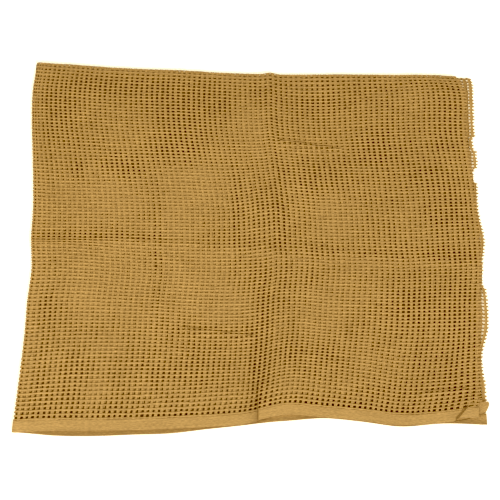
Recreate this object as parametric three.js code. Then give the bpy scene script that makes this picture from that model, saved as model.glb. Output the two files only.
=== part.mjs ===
// Sniper veil: a scarf of open cotton net, folded in four and lying flat.
// Millimetres, +Z up. X runs along the selvedges, Y from the near selvedges to the far fold.
import * as THREE from 'three';
import { mergeVertices } from 'three/addons/utils/BufferGeometryUtils.js';

// The cloth as it is cut from the loom
const CUT_LENGTH = 1100; // along the selvedges
const CUT_WIDTH = 900; // from selvedge to selvedge
const THICKNESS = 1; // a warp bundle crossing a weft bundle
const TAN = 0xc49a52;

// The folded stack: halved along the far edge first, then halved again along the left edge
const LAYER_PITCH = 1.9; // from one layer to the next
const FAR_RADIUS = LAYER_PITCH / 2; // middle of the cloth, round the far fold
const LEFT_RADIUS = LAYER_PITCH; // middle of the doubled cloth, round the left fold
const STACK_HEIGHT = 3 * LAYER_PITCH + THICKNESS;
const FOLDED_LENGTH = CUT_LENGTH / 2;
const FOLDED_WIDTH = CUT_WIDTH / 2;

// Plan outline of the sides, in even steps from the near selvedges to the far fold. Left is the fold, and
// right are the frayed cut ends, which stop at other places in the upper two layers than in the lower two.
const SIDES = [
  { left: -273, upperEnds: 266, lowerEnds: 276 },
  { left: -270.3, upperEnds: 271, lowerEnds: 275.5 },
  { left: -267.5, upperEnds: 272.5, lowerEnds: 273.5 },
  { left: -265.3, upperEnds: 275, lowerEnds: 282.8 },
  { left: -264.3, upperEnds: 277.3, lowerEnds: 283.8 },
  { left: -261.5, upperEnds: 281, lowerEnds: 280.5 },
  { left: -264, upperEnds: 280.5, lowerEnds: 285 },
  { left: -264, upperEnds: 279.3, lowerEnds: 280 },
  { left: -266, upperEnds: 277, lowerEnds: 280.5 },
  { left: -269, upperEnds: 274.5, lowerEnds: 282 },
  { left: -272, upperEnds: 272.5, lowerEnds: 281 },
  { left: -273, upperEnds: 274.5, lowerEnds: 282 },
  { left: -269.5, upperEnds: 265, lowerEnds: 279 },
];

// Plan outline of the near and far edges, in even steps from the left fold to the cut ends.
// Far is the fold. Near are the selvedges, where the inner layers show a little in front of the outer ones.
const EDGES = [
  { outerSelvedge: -228, innerSelvedge: -228, far: 236 },
  { outerSelvedge: -226.5, innerSelvedge: -231.5, far: 233.5 },
  { outerSelvedge: -226, innerSelvedge: -232, far: 230 },
  { outerSelvedge: -225.5, innerSelvedge: -230.5, far: 227.6 },
  { outerSelvedge: -224, innerSelvedge: -229, far: 226 },
  { outerSelvedge: -222, innerSelvedge: -224, far: 223 },
  { outerSelvedge: -218.5, innerSelvedge: -219.5, far: 221 },
  { outerSelvedge: -208, innerSelvedge: -214.8, far: 219.9 },
  { outerSelvedge: -211, innerSelvedge: -211.5, far: 220 },
  { outerSelvedge: -215, innerSelvedge: -215.5, far: 220 },
  { outerSelvedge: -220, innerSelvedge: -221, far: 219.5 },
  { outerSelvedge: -217.5, innerSelvedge: -218, far: 219.5 },
  { outerSelvedge: -212, innerSelvedge: -219, far: 217 },
];

// Creases left by an earlier, tighter folding, as soft ridges from one plan point to another.
// The last is the small pleat across the near right corner.
const CREASES = [
  { x: 11, y: -222, toX: 12, toY: -40, rise: 1.6, reach: 8 },
  { x: 12, y: -40, toX: 13, toY: 219, rise: 0.8, reach: 6 },
  { x: -263, y: -0.5, toX: -130, toY: 0, rise: 2.4, reach: 8 },
  { x: -130, y: 0, toX: 270, toY: -24, rise: 0.9, reach: 7 },
  { x: 237, y: -219, toX: 254, toY: -202, rise: 2.4, reach: 8 },
];

// Broad swells where the layers lie loose on each other
const SWELLS = [
  { x: -150, y: 120, rise: 0.8, reach: 90 },
  { x: 140, y: 110, rise: 1, reach: 80 },
  { x: -120, y: -120, rise: 0.9, reach: 80 },
  { x: 150, y: -110, rise: 0.7, reach: 90 },
];
const FOLD_PUFF = 2.4; // extra height of the soft rolled fold on the left
const FOLD_PUFF_REACH = 22;

// Steps of the cloth from a fold line to its free edge, closer together at the creases and the corner pleat
const ARC_STEPS = 3;
const LENGTH_STEPS = stepped(17, [0.5, 0.516, 0.532, 0.955, 0.975]);
const WIDTH_STEPS = stepped(14, [0.485, 0.502, 0.52, 0.955, 0.978]);

function stepped(count, close) {
  const even = Array.from({ length: count + 1 }, (_, step) => step / count);
  const kept = even.filter((share) => close.every((near) => Math.abs(near - share) > 0.3 / count));
  return [...kept, ...close].sort((one, other) => one - other);
}

// Runs from one free edge over the fold to the other: up to 1 either way is the bend, 1 to 2 the flat layer
function runs(steps) {
  const bend = Array.from({ length: ARC_STEPS }, (_, step) => step / ARC_STEPS);
  const half = [...bend, ...steps.map((share) => 1 + share)];
  const otherHalf = half.slice(1).reverse();
  return [...otherHalf.map((run) => -run), ...half];
}

// A column of an evenly stepped table, as a smooth curve through its rows
function column(table, name) {
  const curve = new THREE.SplineCurve(table.map((row, step) => new THREE.Vector2(step, row[name])));
  return (at) => curve.getPoint(THREE.MathUtils.clamp(at, 0, 1)).y;
}

const leftEdge = column(SIDES, 'left');
const upperEnds = column(SIDES, 'upperEnds');
const lowerEnds = column(SIDES, 'lowerEnds');
const outerSelvedge = column(EDGES, 'outerSelvedge');
const innerSelvedge = column(EDGES, 'innerSelvedge');
const farEdge = column(EDGES, 'far');

function bendAngle(run) {
  return (THREE.MathUtils.clamp(run, -1, 1) * Math.PI) / 2;
}

function flatShare(run) {
  return Math.max(Math.abs(run) - 1, 0);
}

// How much the stack stands above its pressed height at a plan point
function rise(x, y, fromLeft) {
  let total = FOLD_PUFF * Math.exp(-fromLeft / FOLD_PUFF_REACH);
  for (const swell of SWELLS) {
    const away = Math.hypot(x - swell.x, y - swell.y);
    total += swell.rise * Math.exp(-((away / swell.reach) ** 2));
  }
  const point = new THREE.Vector3(x, y, 0);
  for (const crease of CREASES) {
    const from = new THREE.Vector3(crease.x, crease.y, 0);
    const line = new THREE.Line3(from, new THREE.Vector3(crease.toX, crease.toY, 0));
    const away = line.closestPointToPoint(point, true, new THREE.Vector3()).distanceTo(point);
    total += crease.rise * Math.exp(-((away / crease.reach) ** 2));
  }
  return total;
}

// Where a point of the flat cloth lies once folded. Negative lengthRun is the lower pair of layers.
// Negative widthRun is the outer leaf of each pair. Out is the distance from the cloth's middle outwards.
function folded(lengthRun, widthRun, out) {
  const lengthShare = flatShare(lengthRun);
  const widthShare = flatShare(widthRun);

  const farTurn = bendAngle(widthRun);
  const leaf = -(FAR_RADIUS + out) * Math.sin(farTurn);
  const behindFar = FAR_RADIUS + THICKNESS / 2 - (FAR_RADIUS + out) * Math.cos(farTurn);
  const leftTurn = bendAngle(lengthRun);
  const behindLeft = STACK_HEIGHT / 2 - (LEFT_RADIUS + leaf) * Math.cos(leftTurn);
  const height = STACK_HEIGHT / 2 + (LEFT_RADIUS + leaf) * Math.sin(leftTurn);

  const near = outerSelvedge(lengthShare);
  const far = farEdge(lengthShare);
  const selvedge = widthRun > 0 ? innerSelvedge(lengthShare) : near;
  const lastUp = (selvedge - near) / (far - near);
  const up = THREE.MathUtils.lerp(1 - behindFar / FOLDED_WIDTH, lastUp, widthShare);

  const left = leftEdge(up);
  const right = upperEnds(up);
  const ends = lengthRun > 0 ? right : lowerEnds(up);
  const lastAlong = (ends - left) / (right - left);
  const along = THREE.MathUtils.lerp(behindLeft / FOLDED_LENGTH, lastAlong, lengthShare);

  const x = THREE.MathUtils.lerp(left, right, along);
  const y = THREE.MathUtils.lerp(outerSelvedge(along), farEdge(along), up);
  const lift = 1 + rise(x, y, along * FOLDED_LENGTH) / STACK_HEIGHT;
  return new THREE.Vector3(x, y, height * lift);
}

// The cloth starts as a flat slab in even steps, and each of its points goes to its place in the fold
function veilGeometry() {
  const lengthRuns = runs(LENGTH_STEPS);
  const widthRuns = runs(WIDTH_STEPS);
  const lengthCells = lengthRuns.length - 1;
  const widthCells = widthRuns.length - 1;
  const slab = new THREE.BoxGeometry(lengthCells, widthCells, THICKNESS, lengthCells, widthCells, 1);
  slab.deleteAttribute('normal');
  slab.deleteAttribute('uv');
  const points = slab.getAttribute('position');
  for (let index = 0; index < points.count; index += 1) {
    const lengthRun = lengthRuns[Math.round(points.getX(index) + lengthCells / 2)];
    const widthRun = widthRuns[Math.round(points.getY(index) + widthCells / 2)];
    const place = folded(lengthRun, widthRun, points.getZ(index));
    points.setXYZ(index, place.x, place.y, place.z);
  }
  const cloth = mergeVertices(slab);
  cloth.computeBoundingBox();
  const middle = cloth.boundingBox.getCenter(new THREE.Vector3());
  cloth.translate(-middle.x, -middle.y, 0);
  cloth.computeVertexNormals();
  return cloth;
}

const cotton = new THREE.MeshStandardMaterial({ color: TAN, roughness: 0.95, metalness: 0 });
const veil = new THREE.Mesh(veilGeometry(), cotton);
veil.name = 'veil';

const part = new THREE.Group();
part.add(veil);

export default part;
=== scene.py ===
import math

import bpy
import numpy as np
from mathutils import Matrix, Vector


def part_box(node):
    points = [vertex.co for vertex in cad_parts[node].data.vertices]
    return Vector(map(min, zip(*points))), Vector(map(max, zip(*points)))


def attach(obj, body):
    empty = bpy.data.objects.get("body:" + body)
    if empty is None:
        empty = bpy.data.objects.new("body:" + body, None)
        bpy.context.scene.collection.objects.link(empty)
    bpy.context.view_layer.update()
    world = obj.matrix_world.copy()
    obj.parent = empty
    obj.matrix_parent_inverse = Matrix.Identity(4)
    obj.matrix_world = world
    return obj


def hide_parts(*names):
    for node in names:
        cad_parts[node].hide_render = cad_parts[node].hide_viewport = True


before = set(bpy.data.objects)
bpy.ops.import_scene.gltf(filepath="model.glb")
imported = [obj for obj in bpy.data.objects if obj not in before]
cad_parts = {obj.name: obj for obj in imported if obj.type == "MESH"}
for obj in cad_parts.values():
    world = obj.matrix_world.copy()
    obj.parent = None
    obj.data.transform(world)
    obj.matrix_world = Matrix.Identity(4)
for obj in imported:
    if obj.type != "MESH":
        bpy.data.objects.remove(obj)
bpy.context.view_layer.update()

# The fold. The veil is one length of cotton net, halved along its far edge and halved again along its left
# edge, so that it lies as four layers. Every piece below is laid on this folded form. Lengths are in
# millimetres until a mesh is made.
MM = 0.001
THICKNESS = 1.0
FAR_RADIUS = 0.6
LEFT_RADIUS = 1.8
STACK_HEIGHT = 2 * (LEFT_RADIUS + FAR_RADIUS) + THICKNESS
FOLDED_LENGTH = 550.0
FOLDED_WIDTH = 450.0
CELL_LENGTH = 6.378
CELL_WIDTH = 4.385
SELVEDGE = 11.5
FRINGE = 1.5
# The far fold is pressed sharp. The left fold is a soft roll that stands out further than it is high, and
# takes up a quarter turn's length of cloth on each side of its middle.
FAR_QUARTER = FAR_RADIUS * math.pi / 2
LEFT_QUARTER = 7.0
ROLL = 1.5
# The layers part towards their cut ends and their selvedges over these lengths of cloth
PARTING_LENGTH = 110.0
PARTING_WIDTH = 40.0

# Sides of the plan outline, in even steps from the near selvedges to the far fold
LEFT_FOLD = (-273, -270.3, -267.5, -265.3, -264.3, -261.5, -264, -264, -266, -269, -272, -273, -269.5)
UPPER_ENDS = (266, 271, 272.5, 275, 277.3, 281, 280.5, 279.3, 277, 274.5, 272.5, 274.5, 272.5)
LOWER_ENDS = (276, 275.5, 273.5, 282.8, 283.8, 280.5, 285, 280, 280.5, 282, 281, 282, 282.5)
# The fourth layer stops short of the third, but for the near corner
FOURTH_ENDS = (276, 269.5, 267.5, 276.8, 277.8, 274.5, 279, 274, 275, 277, 276, 277, 277.5)
# Near and far edges of the plan outline, in even steps from the left fold to the cut ends
OUTER_SELVEDGE = (-228, -226.5, -226, -225.5, -224, -222, -218.5, -208, -211, -215, -220, -217.5, -212)
INNER_SELVEDGE = (-228, -231.5, -232, -230.5, -229, -224, -219.5, -214.8, -211.5, -215.5, -221, -218, -219)
FAR_FOLD = (236, 233.5, 230, 227.6, 226, 223, 221, 219.9, 220, 220, 219.5, 219.5, 217)
# A small hump stands out of the far fold where the old crease meets it
FAR_HUMP = dict(place=0.547, reach=0.014, out=2.2)
# The far right corners are rounded, less in the lower layers
CORNER_DEPTH = 10
CORNER_REACH = 7
LOWER_ROUNDING = 0.5
# The lower ends slip back in three short stretches, with steep ends
SLIP_STEEPNESS = 8
SLIPS = (
    dict(place=-43, reach=13, back=3),
    dict(place=85, reach=9, back=5),
    dict(place=127, reach=9, back=3.5),
)

# Creases left by an earlier, tighter folding: from one plan point to another, with their rise, their reach
# on their left and right hand, how far cloth on their right is drawn to them, and how far they open gaps
CREASES = (
    dict(start=(11, -222), end=(12, -40), rise=1.6, reach=(11, 5), draw=0, opens=0),
    dict(start=(12, -40), end=(13, 219), rise=0.8, reach=(6, 5), draw=0, opens=0),
    dict(start=(-263, -0.5), end=(-130, 0), rise=2.0, reach=(15, 6), draw=5, opens=0.38),
    dict(start=(-130, 0), end=(270, -24), rise=0.9, reach=(5, 6), draw=0, opens=0.15),
)
# Laps in the first layer, where cloth on the right hand of a line stands up and lies over the left: two
# sides of the pleat across the near right corner, the near end of the old crease, and three wrinkles
LAP_END = 8
LAP_FRONT = 0.6
LAPS = (
    dict(start=(237, -219), end=(254, -202), rise=3.0, reach=11, lap=3),
    dict(start=(254, -202), end=(263, -200.5), rise=1.2, reach=9, lap=1),
    dict(start=(12, -225), end=(12, -175), rise=4.0, reach=12, lap=1.3),
    dict(start=(43, 130), end=(112, 119), rise=1.6, reach=8, lap=1.6),
    dict(start=(-72, -106), end=(0, -115), rise=1.5, reach=7, lap=1.3),
    dict(start=(204, -182), end=(249, -177.5), rise=1.2, reach=6, lap=1.0),
)
# The second layer's near corner is pulled up and out to the right, past the first
TUCK = dict(corner=(269, -205), move=(13, 9.5), reach=11)
# The whole stack swells a little in each quarter, and puffs up beside the left fold
SWELLS = (
    dict(place=(-150, 120), rise=0.8, reach=90),
    dict(place=(140, 110), rise=1.0, reach=80),
    dict(place=(-120, -120), rise=0.9, reach=80),
    dict(place=(150, -110), rise=0.7, reach=90),
)
FOLD_PUFF = 2.4
FOLD_PUFF_REACH = 22


def smooth_row(row, share):
    """A smooth curve through evenly stepped values, read at shares from 0 to 1."""
    row = np.asarray(row, float)
    last = len(row) - 1
    place = np.clip(share, 0, 1) * last
    step = np.minimum(place.astype(int), last - 1)
    part = place - step
    before, here, after, beyond = (row[np.clip(step + k, 0, last)] for k in (-1, 0, 1, 2))
    slope = (after - before) / 2
    next_slope = (beyond - here) / 2
    bend = 3 * (after - here) - 2 * slope - next_slope
    twist = slope + next_slope - 2 * (after - here)
    return here + part * (slope + part * (bend + part * twist))


def blend(start, end, share):
    return start + (end - start) * share


def far_edge(share):
    """The far fold's place at shares of its length."""
    hump = np.exp(-(((share - FAR_HUMP["place"]) / FAR_HUMP["reach"]) ** 2))
    return smooth_row(FAR_FOLD, share) + FAR_HUMP["out"] * hump


def from_crease(crease, x, y):
    """How far plan points lie from a crease, less than nothing on its right hand."""
    (x0, y0), (x1, y1) = crease["start"], crease["end"]
    share = np.clip(((x - x0) * (x1 - x0) + (y - y0) * (y1 - y0)) / ((x1 - x0) ** 2 + (y1 - y0) ** 2), 0, 1)
    away = np.hypot(x - blend(x0, x1, share), y - blend(y0, y1, share))
    return np.where((x1 - x0) * (y - y0) > (y1 - y0) * (x - x0), away, -away)


def rise(x, y, from_left):
    """How far the stack stands above its pressed height at a plan point."""
    total = FOLD_PUFF * np.exp(-from_left / FOLD_PUFF_REACH)
    for swell in SWELLS:
        away = np.hypot(x - swell["place"][0], y - swell["place"][1])
        total = total + swell["rise"] * np.exp(-((away / swell["reach"]) ** 2))
    for crease in CREASES:
        away = from_crease(crease, x, y)
        reach = np.where(away > 0, *crease["reach"])
        total = total + crease["rise"] * np.exp(-np.abs(away) / reach)
    return total


def lapped(x, y):
    """How far the laps move plan points of the first layer along, up the cloth and out of it."""
    along, up, lift = (np.zeros_like(x) for _ in range(3))
    for lap in LAPS:
        (x0, y0), (x1, y1) = lap["start"], lap["end"]
        length = math.hypot(x1 - x0, y1 - y0)
        share = ((x - x0) * (x1 - x0) + (y - y0) * (y1 - y0)) / length**2
        away = from_crease(lap, x, y)
        front = (1 - np.tanh(away / (2 * LAP_FRONT))) / 2
        near_line = np.exp(-((away / lap["reach"]) ** 2)) * front
        past_end = np.maximum(np.maximum(share - 1, -share), 0) * length
        near_line = near_line * np.exp(-((past_end / LAP_END) ** 2))
        along = along - near_line * lap["lap"] * (y1 - y0) / length
        up = up + near_line * lap["lap"] * (x1 - x0) / length
        lift = np.maximum(lift, lap["rise"] * near_line)
    return along, up, lift


def parting(from_edge, stretch):
    """Layers lie one on the other and part only near their free edges, over a stretch of cloth."""
    part = np.clip(1 - from_edge / stretch, 0, 1)
    return part * part * (3 - 2 * part)


class Layer:
    """One quarter of the cloth: in the upper or lower pair, and the outer or inner leaf of its pair."""

    def __init__(self, name, upper, outer, columns, rows, ends, selvedge):
        self.name = name
        self.upper = upper
        self.outer = outer
        self.columns = columns
        self.rows = rows
        self.length = columns * CELL_LENGTH + FRINGE
        self.width = rows * CELL_WIDTH + SELVEDGE
        self.ends = ends
        self.selvedge = selvedge

    def folded(self, from_left, from_far, out):
        """Where points of the flat cloth lie: distances from the two fold lines, and out of its middle."""
        left_turn = np.clip(from_left / LEFT_QUARTER, 0, 1) * math.pi / 2
        far_turn = np.clip(from_far / FAR_QUARTER, 0, 1) * math.pi / 2
        flat_length = np.maximum(from_left - LEFT_QUARTER, 0) / (FOLDED_LENGTH - LEFT_QUARTER)
        flat_width = np.maximum(from_far - FAR_QUARTER, 0) / (FOLDED_WIDTH - FAR_QUARTER)
        whole_length = (self.length - LEFT_QUARTER) / (FOLDED_LENGTH - LEFT_QUARTER)
        whole_width = (self.width - FAR_QUARTER) / (FOLDED_WIDTH - FAR_QUARTER)

        leaf = (FAR_RADIUS + out) * np.sin(far_turn) * (1 if self.outer else -1)
        behind_far = FAR_RADIUS + THICKNESS / 2 - (FAR_RADIUS + out) * np.cos(far_turn)
        behind_left = ROLL * (STACK_HEIGHT / 2 - (LEFT_RADIUS + leaf) * np.cos(left_turn))
        height = STACK_HEIGHT / 2 + (LEFT_RADIUS + leaf) * np.sin(left_turn) * (1 if self.upper else -1)

        near = smooth_row(OUTER_SELVEDGE, flat_length)
        far = far_edge(flat_length)
        last_up = (smooth_row(self.selvedge, flat_length) - near) / (far - near)
        up = blend(1 - behind_far / FOLDED_WIDTH, 0, flat_width)
        up = up + (last_up - 1 + whole_width) * parting(self.width - SELVEDGE - from_far, PARTING_WIDTH)
        left = smooth_row(LEFT_FOLD, up)
        right = smooth_row(UPPER_ENDS, up)
        rounding = 1 if self.upper else LOWER_ROUNDING
        corner = CORNER_DEPTH * rounding * np.exp(-from_far / (CORNER_REACH * rounding))
        ends = smooth_row(self.ends, up) - corner
        if not self.upper:
            y = blend(OUTER_SELVEDGE[-1], FAR_FOLD[-1], up)
            for slip in SLIPS:
                away = (y - slip["place"]) / slip["reach"]
                ends = ends - slip["back"] * np.exp(-(away**SLIP_STEEPNESS))
        last_along = (ends - left) / (right - left)
        along = blend(behind_left / FOLDED_LENGTH, 1, flat_length)
        along = along + (last_along - whole_length) * parting(self.length - from_left, PARTING_LENGTH)

        x = blend(left, right, along)
        y = blend(smooth_row(OUTER_SELVEDGE, along), far_edge(along), up)
        lift = 1 + rise(x, y, along * FOLDED_LENGTH) / STACK_HEIGHT
        height = height * lift
        if self.upper and self.outer:
            lap_along, lap_up, lap_lift = lapped(x, y)
            x = x + lap_along
            y = y + lap_up
            height = height + lap_lift
        elif self.upper:
            away = np.hypot(x - TUCK["corner"][0], y - TUCK["corner"][1])
            tucked = np.exp(-((away / TUCK["reach"]) ** 2))
            x = x + TUCK["move"][0] * tucked
            y = y + TUCK["move"][1] * tucked
        return np.stack([x, y, height], axis=-1)


# From the top down: in the upper pair, the outer leaf of its pair, columns and rows, cut ends and selvedge
LAYERS = (
    Layer("first_layer", True, True, 86, 100, UPPER_ENDS, OUTER_SELVEDGE),
    Layer("second_layer", True, False, 86, 100, UPPER_ENDS, OUTER_SELVEDGE),
    Layer("third_layer", False, False, 87, 101, LOWER_ENDS, INNER_SELVEDGE),
    Layer("fourth_layer", False, True, 86, 100, FOURTH_ENDS, OUTER_SELVEDGE),
)

# The solid is centred on its box, so the plan moves with the solid's left and near sides. The cloth is
# raised until its lowest bundles just rest on the floor.
RAISED = 0.42
edge_shares = np.linspace(0, 1, 500)
solid_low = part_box("veil")[0]
PLAN_SHIFT = (
    solid_low[0] / MM - smooth_row(LEFT_FOLD, edge_shares).min(),
    solid_low[1] / MM - smooth_row(INNER_SELVEDGE, edge_shares).min(),
    RAISED,
)


def cloth_piece(name, strips, material):
    """A mesh of strips. Each has points as (strip, step, across, xyz) and flat cloth places as (..., 2)."""
    points, faces, places = [], [], []
    start = 0
    for grid, flat in strips:
        count, steps, across = grid.shape[:3]
        index = start + np.arange(grid[..., 0].size).reshape(count, steps, across)
        quad = (index[:, :-1, :-1], index[:, 1:, :-1], index[:, 1:, 1:], index[:, :-1, 1:])
        faces.append(np.stack(quad, axis=-1).reshape(-1, 4))
        points.append(grid.reshape(-1, 3))
        places.append(flat.reshape(-1, 2))
        start += index.size
    corners = np.concatenate(faces)
    mesh = bpy.data.meshes.new(name)
    mesh.from_pydata(((np.concatenate(points) + PLAN_SHIFT) * MM).tolist(), [], corners.tolist())
    cloth_place = mesh.uv_layers.new(name="cloth")
    cloth_place.data.foreach_set("uv", (np.concatenate(places) * MM)[corners.ravel()].ravel())
    mesh.shade_smooth()
    mesh.materials.append(material)
    piece = bpy.data.objects.new(name, mesh)
    bpy.context.collection.objects.link(piece)
    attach(piece, "root")
    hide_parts("veil")
    return piece


# The net. Warp bundles run along the selvedges and weft bundles across them, each of a few soft cotton
# yarns, woven loosely enough to leave an oval gap in every cell. The layers' gaps line up only in patches.
chance = np.random.default_rng(7)

# Half widths and heights of the bundles, half way between crossings and where they cross
WARP = dict(half_width=(0.9, 1.05), crown=(0.45, 0.62), rim=(-0.15, 0.05))
WEFT = dict(half_width=(1.62, 1.86), crown=(-0.05, -0.12), rim=(-0.5, -0.55))
# How far a bundle strays to the side, the share by which it swells, and how far its crown rises and falls
WANDER = 0.15
SWELLING = 0.11
CROWN_WAVER = 0.06

# Places where handling has pulled the mesh along or across the cloth, and how far
PULLS = (
    dict(place=(90, 170), reach=(58, 75), move=(0, -6.5)),
    dict(place=(22, 40), reach=(30, 50), move=(0, 5.5)),
    dict(place=(11, -195), reach=(18, 60), move=(0, -2.2)),
    dict(place=(-230, 60), reach=(60, 60), move=(0, -2.5)),
    dict(place=(-200, -80), reach=(85, 100), move=(0, 4)),
    dict(place=(-120, -110), reach=(60, 60), move=(0, 3)),
    dict(place=(100, -150), reach=(60, 60), move=(0, 3)),
    dict(place=(250, -130), reach=(50, 50), move=(0, -2.5)),
    dict(place=(90, 0), reach=(70, 70), move=(0, -3)),
    dict(place=(0, -190), reach=(90, 50), move=(0, 4)),
    dict(place=(-150, -160), reach=(100, 60), move=(0, 3)),
    dict(place=(210, -75), reach=(50, 50), move=(0, 3)),
    dict(place=(100, -105), reach=(40, 40), move=(0, -2.5)),
    dict(place=(150, 114), reach=(40, 40), move=(0, -2)),
    dict(place=(260, 205), reach=(45, 45), move=(0, 3.5)),
    dict(place=(-50, 30), reach=(70, 70), move=(4, 0)),
    dict(place=(-200, 190), reach=(120, 120), move=(-8, 0)),
    dict(place=(-180, 230), reach=(110, 110), move=(-5, 0)),
    dict(place=(20, 240), reach=(160, 160), move=(-10, 0)),
    dict(place=(-50, -140), reach=(70, 70), move=(3, 0)),
    dict(place=(150, -200), reach=(90, 90), move=(-5, 0)),
    dict(place=(190, -95), reach=(60, 60), move=(4.5, 0)),
    dict(place=(230, -210), reach=(60, 60), move=(-5, 0)),
    dict(place=(60, -195), reach=(50, 50), move=(-3, 0)),
    dict(place=(250, 75), reach=(50, 50), move=(3, 0)),
)
# The mesh is held at the edges of the cloth. The layers slip apart nearer to the bands than to the folds.
EDGE_HOLD = 15
BAND_HOLD = 1.4
# Cloth is drawn to a crease from this far on its right hand, starting over a narrow strip. The draw fades
# with the distance along the crease from its start, and with the distance from its line.
DRAWN_FROM = 3
DRAWN_STRIP = 6
DRAWN_REACH = (110, 140)

# Patches where the gaps of the top two layers meet more (dark, open) or less (filled) than elsewhere
GAPS_MEET = 0.48
PATCH_STEEPNESS = 1.5
PATCHES = (
    dict(place=(-230, 190), reach=(34, 30), more=0.35),
    dict(place=(-225, 150), reach=(25, 25), more=0.35),
    dict(place=(-190, 207), reach=(22, 16), more=0.4),
    dict(place=(-115, 203), reach=(65, 17), more=0.45),
    dict(place=(-70, 165), reach=(42, 36), more=0.5),
    dict(place=(-88, 118), reach=(32, 22), more=0.45),
    dict(place=(-28, 187), reach=(18, 18), more=0.3),
    dict(place=(-150, 95), reach=(28, 18), more=0.5),
    dict(place=(-208, 95), reach=(9, 15), more=0.4),
    dict(place=(88, 180), reach=(30, 20), more=0.24),
    dict(place=(160, 125), reach=(28, 25), more=0.4),
    dict(place=(85, 85), reach=(38, 20), more=0.4),
    dict(place=(18, 42), reach=(20, 28), more=0.3),
    dict(place=(-15, 40), reach=(8, 60), more=0.35),
    dict(place=(40, 45), reach=(8, 60), more=0.4),
    dict(place=(40, 155), reach=(9, 45), more=0.25),
    dict(place=(220, 82), reach=(32, 15), more=0.3),
    dict(place=(245, 40), reach=(28, 22), more=0.35),
    dict(place=(20, -75), reach=(8, 55), more=0.3),
    dict(place=(15, -165), reach=(15, 36), more=0.45),
    dict(place=(50, -135), reach=(18, 15), more=0.5),
    dict(place=(196, -85), reach=(30, 26), more=0.36),
    dict(place=(248, -90), reach=(22, 50), more=0.28),
    dict(place=(245, -20), reach=(30, 10), more=0.3),
    dict(place=(-240, -90), reach=(16, 20), more=0.35),
    dict(place=(-205, -165), reach=(19, 22), more=0.45),
    dict(place=(-140, -165), reach=(20, 18), more=0.1),
    dict(place=(-107, -168), reach=(11, 18), more=0.36),
    dict(place=(-52, -158), reach=(34, 24), more=0.26),
    dict(place=(-40, -110), reach=(50, 9), more=0.25),
    dict(place=(250, -165), reach=(18, 24), more=0.22),
    dict(place=(160, -182), reach=(55, 9), more=0.12),
    dict(place=(150, 108), reach=(45, 6), more=0.3),
    dict(place=(-225, 50), reach=(40, 40), more=-0.33),
    dict(place=(-165, 55), reach=(36, 36), more=-0.43),
    dict(place=(-75, 70), reach=(46, 30), more=-0.55),
    dict(place=(-90, 22), reach=(28, 28), more=-0.5),
    dict(place=(-180, -50), reach=(44, 46), more=-0.55),
    dict(place=(-120, -50), reach=(26, 50), more=-0.25),
    dict(place=(-65, -52), reach=(36, 46), more=-0.55),
    dict(place=(-24, -84), reach=(30, 24), more=-0.42),
    dict(place=(105, 35), reach=(32, 30), more=-0.4),
    dict(place=(85, -85), reach=(26, 32), more=-0.45),
    dict(place=(128, -55), reach=(30, 40), more=-0.24),
    dict(place=(10, 140), reach=(18, 42), more=-0.35),
    dict(place=(80, 128), reach=(36, 14), more=-0.3),
    dict(place=(196, 35), reach=(13, 26), more=-0.3),
    dict(place=(208, 180), reach=(26, 35), more=-0.14),
    dict(place=(-120, -190), reach=(30, 20), more=-0.1),
    dict(place=(-245, -15), reach=(20, 12), more=-0.5),
    dict(place=(100, -190), reach=(180, 40), more=-0.15),
    dict(place=(-150, 195), reach=(120, 35), more=0.15),
    dict(place=(10, -130), reach=(14, 80), more=0.25),
    dict(place=(150, 195), reach=(90, 32), more=0.12),
    dict(place=(252, 165), reach=(30, 55), more=0.3),
    dict(place=(22, 195), reach=(9, 14), more=0.4),
    dict(place=(-155, 132), reach=(15, 17), more=-0.2),
    dict(place=(-182, -180), reach=(14, 16), more=-0.35),
    dict(place=(-112, 0), reach=(6, 90), more=0.35),
    dict(place=(152, -140), reach=(34, 22), more=-0.26),
    dict(place=(-133, 16), reach=(14, 12), more=-0.4),
    dict(place=(72, 212), reach=(34, 10), more=-0.25),
    dict(place=(-190, 48), reach=(14, 14), more=0.25),
    dict(place=(-222, -198), reach=(24, 14), more=0.25),
    dict(place=(-248, -160), reach=(14, 45), more=0.25),
    dict(place=(96, -140), reach=(20, 13), more=0.3),
    dict(place=(85, -162), reach=(28, 18), more=0.16),
    dict(place=(41, -55), reach=(10, 28), more=0.18),
    dict(place=(70, -45), reach=(14, 14), more=0.22),
    dict(place=(-165, -135), reach=(18, 14), more=-0.22),
    dict(place=(-133, -103), reach=(18, 14), more=-0.22),
    dict(place=(-250, 110), reach=(14, 60), more=0.15),
    dict(place=(200, -185), reach=(40, 20), more=0.14),
    dict(place=(-150, -198), reach=(24, 14), more=0.14),
)
# A crease opens the gaps on its left hand and shuts them on its right, most at these places
CREASE_OPENS = dict(place=7, reach=7)
CREASE_SHUTS = dict(place=-9, reach=5, share=2)

# How far each layer's mesh lies from the first layer's where the gaps don't meet, in cells along and across
LAYER_APART = dict(
    first_layer=(0, 0),
    second_layer=(0.5, 0.25),
    third_layer=(0.5, 0.5),
    fourth_layer=(0.5, 0.35),
)
# Where the top gaps meet most, the third layer's gaps lie nearer to them too
DEEP_GAPS = dict(above=0.7, over=0.3, share=0.7)
# The second layer's rows all lie a little towards the far fold, and the first layer's last rows reach it
SECOND_ROWS = 0.4
LAST_ROWS = dict(move=1.35, reach=9)


def smooth_chance(shape, passes):
    """Random values from about -1 to 1 that change slowly along each strip."""
    values = chance.normal(size=shape)
    for _ in range(passes):
        values = (np.roll(values, 1, axis=1) + values + np.roll(values, -1, axis=1)) / 3
    return values / values.std()


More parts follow.
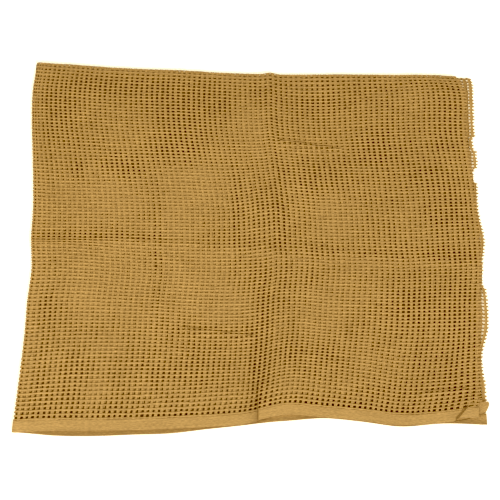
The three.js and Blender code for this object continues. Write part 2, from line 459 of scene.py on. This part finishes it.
def gaps_meeting(x, y):
    """How far the gaps of the top two layers lie over each other, from 0 to 1."""
    total = np.full_like(x, GAPS_MEET)
    for patch in PATCHES:
        along = (x - patch["place"][0]) / patch["reach"][0]
        across = (y - patch["place"][1]) / patch["reach"][1]
        total += patch["more"] * np.exp(-((along**2 + across**2) ** PATCH_STEEPNESS))
    for crease in CREASES:
        away = from_crease(crease, x, y)
        opened = np.exp(-(((away - CREASE_OPENS["place"]) / CREASE_OPENS["reach"]) ** 2))
        shut = np.exp(-(((away - CREASE_SHUTS["place"]) / CREASE_SHUTS["reach"]) ** 2))
        total += crease["opens"] * (opened - CREASE_SHUTS["share"] * shut)
    return np.clip(total, 0, 1)


def held(from_edge):
    """The mesh can't slip at an edge, and is free some way in from it."""
    return 1 - np.exp(-((from_edge / EDGE_HOLD) ** 2))


def pulled(x, y):
    """How far the mesh is pulled out of square at plan points, along and up the cloth."""
    along = np.zeros_like(x)
    up = np.zeros_like(x)
    for pull in PULLS:
        beside = (x - pull["place"][0]) / pull["reach"][0]
        beyond = (y - pull["place"][1]) / pull["reach"][1]
        away = np.hypot(beside, beyond)
        along += pull["move"][0] * np.exp(-(away**2))
        up += pull["move"][1] * np.exp(-(away**2))
    for crease in CREASES:
        away = from_crease(crease, x, y)
        beside = (1 - np.tanh((away + DRAWN_FROM) / DRAWN_STRIP)) / 2
        below = np.minimum(away, 0) / DRAWN_REACH[1]
        beyond = (x - crease["start"][0]) / DRAWN_REACH[0]
        up += crease["draw"] * beside * np.exp(-(below**2) - beyond**2)
    return along, up


def layer_shift(layer, from_left, from_far):
    """How far a layer's mesh lies from an even grid, along and across the cloth."""
    x, y = np.moveaxis(layer.folded(from_left, from_far, 0.0), -1, 0)[:2]
    meeting = gaps_meeting(x, y)
    apart_along, apart_across = LAYER_APART[layer.name]
    if layer.upper:
        apart = 1 - meeting * held(from_left)
    elif layer.outer:
        apart = 1
    else:
        deep = np.clip((meeting - DEEP_GAPS["above"]) / DEEP_GAPS["over"], 0, 1)
        apart = 1 - DEEP_GAPS["share"] * deep
    from_band = layer.width - SELVEDGE - from_far
    apart = apart * held(BAND_HOLD * from_band)
    along = apart_along * apart * CELL_LENGTH
    across = apart_across * apart * CELL_WIDTH * held(from_far)
    if layer.upper:
        along = along * held(from_far)
        if layer.outer:
            across = across - LAST_ROWS["move"] * np.exp(-((from_far / LAST_ROWS["reach"]) ** 2))
        else:
            across = across - SECOND_ROWS * held(from_far)
    pull_along, pull_up = pulled(x, y)
    along = along + pull_along * held(from_left) * held(layer.length - from_left)
    across = across - pull_up * held(from_far) * held(from_band)
    return along, across


def bundles(layer, sizes, is_warp):
    """Arched strips, one for each bundle, stepped where bundles cross and half way between."""
    if is_warp:
        count, pitch, steps, step = layer.rows, CELL_WIDTH, 2 * layer.columns, CELL_LENGTH / 2
    else:
        count, pitch, steps, step = layer.columns, CELL_LENGTH, 2 * layer.rows + 2, CELL_WIDTH / 2
    crossing = np.arange(steps + 1) % 2
    run = np.arange(steps + 1) * step
    middle = (np.arange(count)[:, None] + 0.5) * pitch + WANDER * smooth_chance((count, steps + 1), 2)
    half = np.take(sizes["half_width"], crossing) * (1 + SWELLING * smooth_chance((count, steps + 1), 1))
    crown = np.take(sizes["crown"], crossing) + CROWN_WAVER * smooth_chance((count, steps + 1), 1)
    rim = np.broadcast_to(np.take(sizes["rim"], crossing), crown.shape)
    side = np.stack([middle - half, middle, middle + half], axis=-1)
    out = np.stack([rim, crown, rim], axis=-1)
    run = np.broadcast_to(run[None, :, None], side.shape)
    from_left, from_far = (run, side) if is_warp else (side, run)
    along, across = layer_shift(layer, from_left, from_far)
    from_left = np.maximum(from_left + along * (from_left > 0), 0)
    from_far = np.maximum(from_far + across * (from_far > 0), 0)
    place = layer.folded(from_left, from_far, out if layer.outer else -out)
    return place, np.stack([from_left, from_far], axis=-1)


class Shade:
    """A socket of a material's node tree. Arithmetic on it adds Math nodes."""

    def __init__(self, tree, socket=None):
        self.tree = tree
        self.socket = socket

    def node(self, kind, settings, inputs, output=0):
        made = self.tree.nodes.new(kind)
        for name, value in settings.items():
            setattr(made, name, value)
        for name, value in inputs.items():
            if isinstance(value, Shade):
                self.tree.links.new(value.socket, made.inputs[name])
            else:
                made.inputs[name].default_value = value
        return Shade(self.tree, made.outputs[output] if made.outputs else None)

    def math(self, operation, *values):
        return self.node("ShaderNodeMath", {"operation": operation}, dict(enumerate(values)))

    def __add__(self, other):
        return self.math("ADD", self, other)

    def __sub__(self, other):
        return self.math("SUBTRACT", self, other)

    def __rsub__(self, other):
        return self.math("SUBTRACT", other, self)

    def __mul__(self, other):
        return self.math("MULTIPLY", self, other)

    __radd__ = __add__
    __rmul__ = __mul__

    def sine(self):
        return self.math("SINE", self)

    def exponent(self):
        return self.math("EXPONENT", self)


# The cotton's colour runs between two dyes. Slow clouds, long streaks, short dashes and fine fibre move it
# by their weights. Grains are counted in a metre, along and across the yarn.
DARK_DYE = (0.27, 0.155, 0.038, 1)
PALE_DYE = (0.54, 0.32, 0.092, 1)
CLOUDS = dict(grain=(14.0, 14.0), detail=3.0, weight=0.4)
STREAKS = dict(grain=(22.0, 420.0), detail=2.0, weight=0.6)
DASHES = dict(grain=(240.0, 900.0), detail=2.0, weight=1.2)
FIBRE = dict(grain=(900.0, 3200.0), detail=3.0, weight=0.2)
TONE_DROP = 0.69
# Painted highlight at the left fold; darker towards the far fold; painted shade on the selvedge's outermost
# yarns.
# Painted shade darkens the left hand of the old crease, most near the selvedge. These lengths are in metres.
LEFT_FOLD_HIGHLIGHT = dict(weight=0.5, fade=220.0)
FAR_FOLD_DARK = dict(weight=0.13, fade=16.0)
SELVEDGE_PAINTED_SHADE = dict(weight=0.4, start=0.4485, end=0.4505)
CREASE_PAINTED_SHADE = dict(line=0.2465, slant=0.1, fade=190.0, near_edge=0.45, far_fade=34.0)
# Strands lie side by side in a bundle, each twisted at a slant
STRAND_PITCH = 0.00055
TWIST_PITCH = 0.0011
TWIST_SLANT = 0.7
RELIEF = dict(strand=0.5, twist=0.3, fibre=0.6)


def cotton(name, yarn_axis):
    """Dyed cotton yarn, its strands lying along the cloth (axis 0) or across it (axis 1)."""
    material = bpy.data.materials.new(name)
    material.use_nodes = True
    tree = material.node_tree
    tree.nodes.clear()
    paint = Shade(tree)
    place = paint.node("ShaderNodeUVMap", {"uv_map": "cloth"}, {})
    split = paint.node("ShaderNodeSeparateXYZ", {}, {0: place}).socket.node
    from_left, from_far = (Shade(tree, split.outputs[k]) for k in (0, 1))
    along, across = (from_left, from_far) if yarn_axis == 0 else (from_far, from_left)

    def noise(pattern):
        grain_along, grain_across = pattern["grain"]
        spread = paint.node("ShaderNodeCombineXYZ", {}, {0: along * grain_along, 1: across * grain_across})
        inputs = {"Vector": spread, "Scale": 1.0, "Detail": pattern["detail"]}
        return paint.node("ShaderNodeTexNoise", {"noise_dimensions": "2D"}, inputs)

    fibre = noise(FIBRE)
    tone = noise(CLOUDS) * CLOUDS["weight"] + noise(STREAKS) * STREAKS["weight"]
    tone = tone + noise(DASHES) * DASHES["weight"] + fibre * FIBRE["weight"] - TONE_DROP
    # Painted highlight on the rolled left fold: the tone rises close to it.
    painted_fold_highlight = (from_left * -LEFT_FOLD_HIGHLIGHT["fade"]).exponent()
    by_far_fold = (from_far * -FAR_FOLD_DARK["fade"]).exponent()
    tone = tone + painted_fold_highlight * LEFT_FOLD_HIGHLIGHT["weight"] - by_far_fold * FAR_FOLD_DARK["weight"]
    # Painted shade along the selvedge's outermost yarns, and over the outer part of the third layer's band.
    painted_edge_shade = paint.node(
        "ShaderNodeMapRange",
        {},
        {
            "Value": from_far,
            "From Min": SELVEDGE_PAINTED_SHADE["start"],
            "From Max": SELVEDGE_PAINTED_SHADE["end"],
            "To Max": SELVEDGE_PAINTED_SHADE["weight"],
        },
    )
    tone = tone - painted_edge_shade
    # Painted shade on the left hand of the old crease, strongest near the near selvedge.
    left_of_crease = from_far * CREASE_PAINTED_SHADE["slant"] - from_left + CREASE_PAINTED_SHADE["line"]
    painted_crease_shade = (left_of_crease * -CREASE_PAINTED_SHADE["fade"]).exponent()
    painted_crease_shade = painted_crease_shade * paint.math("GREATER_THAN", left_of_crease, 0.0)
    painted_crease_shade = painted_crease_shade * ((from_far - CREASE_PAINTED_SHADE["near_edge"]) * CREASE_PAINTED_SHADE["far_fade"]).exponent()
    colour = paint.node(
        "ShaderNodeMix",
        {"data_type": "RGBA"},
        {"Factor": tone - painted_crease_shade, 6: DARK_DYE, 7: PALE_DYE},
        output=2,
    )
    strand = (across * (2 * math.pi / STRAND_PITCH)).sine()
    twist = ((along + across * TWIST_SLANT) * (2 * math.pi / TWIST_PITCH)).sine()
    relief = strand * RELIEF["strand"] + twist * RELIEF["twist"] + fibre * RELIEF["fibre"]
    bump = paint.node("ShaderNodeBump", {}, {"Strength": 0.5, "Distance": 0.00012, "Height": relief})
    yarn = paint.node(
        "ShaderNodeBsdfPrincipled",
        {},
        {
            "Base Color": colour,
            "Normal": bump,
            "Roughness": 0.7,
            "Specular IOR Level": 0.6,
            "Sheen Weight": 0.12,
            "Sheen Roughness": 0.5,
        },
    )
    paint.node("ShaderNodeOutputMaterial", {}, {"Surface": yarn})
    return material


warp_cotton = cotton("warp_cotton", 0)
weft_cotton = cotton("weft_cotton", 1)
for layer in LAYERS:
    warp = bundles(layer, WARP, True)
    weft = bundles(layer, WEFT, False)
    piece = cloth_piece(layer.name, [warp, weft], warp_cotton)
    piece.data.materials.append(weft_cotton)
    warp_faces = layer.rows * 2 * layer.columns * 2
    slots = np.zeros(len(piece.data.polygons), np.int32)
    slots[warp_faces:] = 1
    piece.data.polygons.foreach_set("material_index", slots)

# The selvedges. Each long edge of the cloth is a band of the same cotton, woven close and flat, where the
# weft turns back round the outermost warp yarns. It is ribbed and laps a little way over the net.
SELVEDGE_RIBS = 11
SELVEDGE_LAP = 1.2
STEPS_TO_CELL = 8
STEPS_PAST_NET = 2
# Heights above the middle of the cloth
BAND_HEIGHT = dict(middle=0.3, inner_edge=-0.1, outer_edge=-0.15, weave=0.1)
selvedge_cotton = cotton("selvedge_cotton", 0)
for layer in LAYERS:
    steps = STEPS_TO_CELL * layer.columns + STEPS_PAST_NET
    run = np.arange(steps + 1) * CELL_LENGTH / STEPS_TO_CELL
    across = np.arange(2 * SELVEDGE_RIBS + 1)
    width = layer.width - (SELVEDGE + SELVEDGE_LAP) * (1 - across / (2 * SELVEDGE_RIBS))
    height = np.full(len(across), BAND_HEIGHT["middle"])
    height[[0, -1]] = (BAND_HEIGHT["inner_edge"], BAND_HEIGHT["outer_edge"])
    from_left = np.broadcast_to(run[None, :, None], (1, steps + 1, len(across)))
    from_far = np.broadcast_to(width[None, None, :], from_left.shape)
    out = np.broadcast_to(height[None, None, :], from_left.shape)
    over_under = np.arange(steps + 1)[None, :, None] // 2 + across[None, None, :]
    out = out + BAND_HEIGHT["weave"] * (-1.0) ** over_under
    strip = (layer.folded(from_left, from_far, out), np.stack([from_left, from_far], axis=-1))
    cloth_piece("selvedge_" + layer.name, [strip], selvedge_cotton)

# The frayed ends. The cloth is cut straight across its warp, so the yarns of every warp bundle stand out
# past the last weft bundle as short loose tips.
YARNS = 2
TIP_SIDES = 5
TIP_RADIUS = 0.5
TIP_SHAPE = dict(along=(0, 0.4, 0.75, 0.95, 1), radius=(1, 1, 0.95, 0.75, 0.1))
# Each tip strays from its bundle, is cut long or short, sways to the side, and lifts or droops
TIP_STRAY = 0.25
TIP_CUT = (-1.2, 0.6)
TIP_SWAY = 0.3
TIP_DROOP = (-0.25, 0.1)
TIP_HEIGHT = 0.15
# The share of the mesh's shift along the cloth that the tips follow
TIP_FOLLOWS = 0.8
fringe_cotton = cotton("fringe_cotton", 0)
for layer in LAYERS:
    tips = layer.rows * YARNS
    row = (np.repeat(np.arange(layer.rows), YARNS) + 0.5) * CELL_WIDTH
    spot = row + chance.normal(0, TIP_STRAY, tips)
    start = (layer.columns - 0.5) * CELL_LENGTH
    reach = layer.length - start + chance.uniform(*TIP_CUT, tips)
    sway = chance.normal(0, TIP_SWAY, tips)
    droop = chance.uniform(*TIP_DROOP, tips)
    share = np.array(TIP_SHAPE["along"])
    radius = TIP_RADIUS * np.array(TIP_SHAPE["radius"])
    turn = np.arange(TIP_SIDES + 1) * 2 * math.pi / TIP_SIDES
    from_left = start + reach[:, None, None] * share[None, :, None] + 0 * turn
    bent = (sway[:, None] * share**2)[..., None]
    from_far = spot[:, None, None] + bent + (radius[:, None] * np.cos(turn))[None]
    out = TIP_HEIGHT + (droop[:, None] * share)[..., None] + (radius[:, None] * np.sin(turn))[None]
    out = out if layer.outer else -out
    along, across = layer_shift(layer, from_left, from_far)
    from_left = from_left + TIP_FOLLOWS * along
    from_far = from_far + across
    strip = (layer.folded(from_left, from_far, out), np.stack([from_left, from_far], axis=-1))
    cloth_piece("fringe_" + layer.name, [strip], fringe_cotton)

# The studio. The floor is a wide sheet of pale paper under an even white surround. A broad soft light stands
# at the near right, and two weaker ones at the near left and behind.
FLOOR_REACH = 30


def plain_finish(name, values):
    """A stage material that is the same all over."""
    material = bpy.data.materials.new(name)
    material.use_nodes = True
    for socket, value in values.items():
        material.node_tree.nodes["Principled BSDF"].inputs[socket].default_value = value
    return material


def stage_sheet(name, corners, material):
    """One flat face of the stage."""
    mesh = bpy.data.meshes.new(name)
    mesh.from_pydata(corners, [], [tuple(range(len(corners)))])
    mesh.materials.append(material)
    sheet = bpy.data.objects.new(name, mesh)
    bpy.context.collection.objects.link(sheet)


pale_paper = plain_finish(
    "pale_paper",
    {
        "Base Color": (0.95, 0.87, 0.68, 1),
        "Roughness": 0.9,
        "Emission Color": (1, 0.9, 0.58, 1),
        "Emission Strength": 0.5,
    },
)
floor_corners = [(x * FLOOR_REACH, y * FLOOR_REACH, 0) for x, y in ((-1, -1), (1, -1), (1, 1), (-1, 1))]
stage_sheet("floor", floor_corners, pale_paper)

# A dull dark card under the veil is painted shadow: it stands where the floor lies in shade, and keeps the
# lit floor from shining up through the net. It lies inside the near and left edges, and a little way under
# the lower layers on the right.
CARD_INSET = 1.5
CARD_CORNER_INSET = 2
CARD_SIDE_SHIFT = 1
CARD_HEIGHT = 0.02
card_shares = np.linspace(0, 1, len(LEFT_FOLD))
card_x = blend(LEFT_FOLD[0] + CARD_CORNER_INSET, UPPER_ENDS[0] - CARD_INSET, card_shares)
card_y = blend(OUTER_SELVEDGE[0], FAR_FOLD[0], card_shares)
card_edge = [(x, y + CARD_INSET) for x, y in zip(card_x, OUTER_SELVEDGE)]
card_edge += [(x + CARD_SIDE_SHIFT, y) for x, y in zip(UPPER_ENDS[1:-1], card_y[1:-1])]
card_edge += [(x, y) for x, y in zip(card_x[::-1], FAR_FOLD[::-1])]
card_edge += [(x + CARD_SIDE_SHIFT, y) for x, y in zip(LEFT_FOLD[-2:0:-1], card_y[-2:0:-1])]
card_corners = [((x + PLAN_SHIFT[0]) * MM, (y + PLAN_SHIFT[1]) * MM, CARD_HEIGHT * MM) for x, y in card_edge]
# The card's dark brown is painted shadow.
shadow_card = plain_finish("shadow_card", {"Base Color": (0.2, 0.11, 0.03, 1), "Roughness": 0.9})
stage_sheet("card", card_corners, shadow_card)

world = bpy.data.worlds.new("surround")
world.use_nodes = True
world.node_tree.nodes["Background"].inputs["Color"].default_value = (1, 1, 1, 1)
world.node_tree.nodes["Background"].inputs["Strength"].default_value = 0.6
bpy.context.scene.world = world
for name, place, power, size in (
    ("key_light", (6.0, -8.8, 10.0), 1550, 4.0),
    ("near_light", (-0.9, -1.0, 1.2), 9.5, 0.8),
    ("back_light", (-2.4, 4.0, 4.2), 30, 2.4),
):
    soft_light = bpy.data.lights.new(name, "AREA")
    soft_light.shape = "DISK"
    soft_light.size = size
    soft_light.energy = power
    lamp = bpy.data.objects.new(name, soft_light)
    lamp.location = place
    lamp.rotation_euler = (-Vector(place)).to_track_quat("-Z", "Y").to_euler()
    bpy.context.collection.objects.link(lamp)

# The camera stands square to the near edge and looks down steeply at a plan point, as in the photograph. Its
# darkest tones are warm, and its pixels a little sharper than the usual filter gives.
IMAGE_SIDE = 500
FOCAL_PIXELS = 993.5
ELEVATION = math.radians(75)
DISTANCE = 1.2054
AIM = (1.8, -9.2)
PIXEL_FILTER = 1.3
WARM_BLACK = (0.01, 0.034, 0.04)
aim = Vector(((PLAN_SHIFT[0] + AIM[0]) * MM, (PLAN_SHIFT[1] + AIM[1]) * MM, 0))
camera_data = bpy.data.cameras.new("camera")
camera_data.sensor_width = 36
camera_data.lens = FOCAL_PIXELS / IMAGE_SIDE * camera_data.sensor_width
camera = bpy.data.objects.new("camera", camera_data)
camera.location = aim + DISTANCE * Vector((0, -math.cos(ELEVATION), math.sin(ELEVATION)))
camera.rotation_euler = (aim - camera.location).to_track_quat("-Z", "Y").to_euler()
bpy.context.collection.objects.link(camera)
bpy.context.scene.camera = camera
bpy.context.scene.cycles.filter_width = PIXEL_FILTER
view = bpy.context.scene.view_settings
view.view_transform = "Standard"
view.use_curve_mapping = True
view.curve_mapping.black_level = WARM_BLACK
view.curve_mapping.update()
